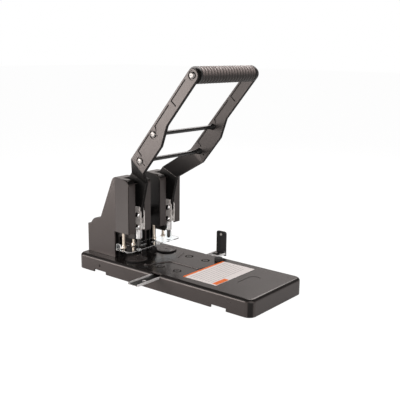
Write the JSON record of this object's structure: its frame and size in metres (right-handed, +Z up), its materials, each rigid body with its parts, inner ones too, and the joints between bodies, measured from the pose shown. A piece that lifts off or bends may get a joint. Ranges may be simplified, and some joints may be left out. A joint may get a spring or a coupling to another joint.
{
  "type": "two-hole lever punch",
  "caption": "Heavy-duty desk hole punch: long grey base, two towers, ribbed bail handle, clear paper guard and sliding paper guide.",
  "frame": {"origin": "on the table, midway between the two punch axes, on the underside of the rubber bar below them", "axes": "+X to the user's right along the line of the punches, +Y away from the user towards the towers, +Z up"},
  "size_m": [0.241, 0.3915, 0.3762],
  "materials": {
    "body_paint": "satin",
    "handle_paint": "satin",
    "black_paint": "satin",
    "black_plastic": "matte",
    "grip_plastic": "matte",
    "disc_plastic": "matte",
    "rubber": "matte",
    "steel": "brushed",
    "chrome": "polished",
    "warm_steel": "satin",
    "spring_steel": "oiled",
    "bronze": "satin",
    "label": "matte",
    "clear_plastic": "polished"
  },
  "bodies": {
    "base": {"base_cover": "body_paint", "bottom_plate": "black_paint", "rubber_feet": "rubber", "bottom_screws": "steel", "side_screws": "black_paint", "chassis_plate": "steel", "rail_carrier": "steel", "deck_screws": "chrome", "disc_pins": "steel", "paper_label": "label", "badge_plate": "body_paint", "paper_stops": "black_paint", "stop_screws": "chrome", "lock_clamp": "steel", "tower_cover_left": "body_paint", "tower_cover_right": "body_paint", "tower_frame_left": "black_paint", "tower_frame_right": "black_paint", "frame_bolts": "steel", "frame_nuts": "steel", "cover_screws": "chrome", "punch_guide_left": "steel", "punch_guide_right": "steel", "shaft_bushes": "bronze"},
    "handle": {"pivot_shaft": "steel", "shaft_clips": "spring_steel", "shaft_collar": "black_paint", "collar_screw": "steel", "return_springs": "spring_steel", "hub_spacers": "steel", "lever_left": "handle_paint", "lever_right": "handle_paint", "grip_core": "steel", "grip_sleeve": "grip_plastic", "grip_collars": "black_plastic", "upper_rod": "handle_paint", "lower_rod": "handle_paint", "handle_screws": "chrome"},
    "punch_unit_left": {"links_left": "steel", "upper_pin_left": "chrome", "lower_pin_left": "chrome", "punch_holder_left": "chrome", "punch_left": "steel"},
    "punch_unit_right": {"links_right": "steel", "upper_pin_right": "chrome", "lower_pin_right": "chrome", "punch_holder_right": "chrome", "punch_right": "steel"},
    "guard": {"clear_guard": "clear_plastic", "guard_posts": "warm_steel", "post_heads": "black_paint", "guard_springs": "steel"},
    "paper_guide": {"guide_rail": "chrome", "guide_stop": "black_plastic", "stop_rivets": "steel"},
    "lock_knob": {"guide_lock_knob": "black_plastic"},
    "disc_left": {"cutting_disc_left": "disc_plastic"},
    "disc_right": {"cutting_disc_right": "disc_plastic"}
  },
  "joints": [
    {"name": "handle_hinge", "type": "hinge", "parent": "base", "child": "handle", "pos_m": [0, 0.04, 0.104], "axis": [1, 0, 0], "range_deg": [0, 30.8], "stiffness_Nm_per_rad": 2.5, "springref_deg": -91.67},
    {"name": "punch_slide_left", "type": "slide", "parent": "base", "child": "punch_unit_left", "axis": [0, 0, -1], "range_m": [0, 0.0232]},
    {"name": "punch_slide_right", "type": "slide", "parent": "base", "child": "punch_unit_right", "axis": [0, 0, -1], "range_m": [0, 0.0232]},
    {"name": "guard_slide", "type": "slide", "parent": "base", "child": "guard", "axis": [0, 0, -1], "range_m": [0, 0.0165], "deforming": ["guard_springs"]},
    {"name": "paper_guide_slide", "type": "slide", "parent": "base", "child": "paper_guide", "axis": [1, 0, 0], "range_m": [-0.018, 0.045]},
    {"name": "lock_knob_turn", "type": "hinge", "parent": "base", "child": "lock_knob", "pos_m": [0.053, -0.1085, 0.03], "axis": [0, 0, 1], "range_deg": [0, 180]},
    {"name": "disc_turn_left", "type": "hinge", "parent": "base", "child": "disc_left", "pos_m": [-0.04, 0.006, 0.03], "axis": [0, 0, 1], "continuous": true},
    {"name": "disc_turn_right", "type": "hinge", "parent": "base", "child": "disc_right", "pos_m": [0.04, 0.006, 0.03], "axis": [0, 0, 1], "continuous": true}
  ],
  "couplings": [
    {"joint": "punch_slide_left", "follows": "handle_hinge", "m_per_rad": 0.043147},
    {"joint": "punch_slide_right", "follows": "handle_hinge", "m_per_rad": 0.043147},
    {"joint": "guard_slide", "follows": "handle_hinge", "m_per_rad": 0.030686}
  ]
}
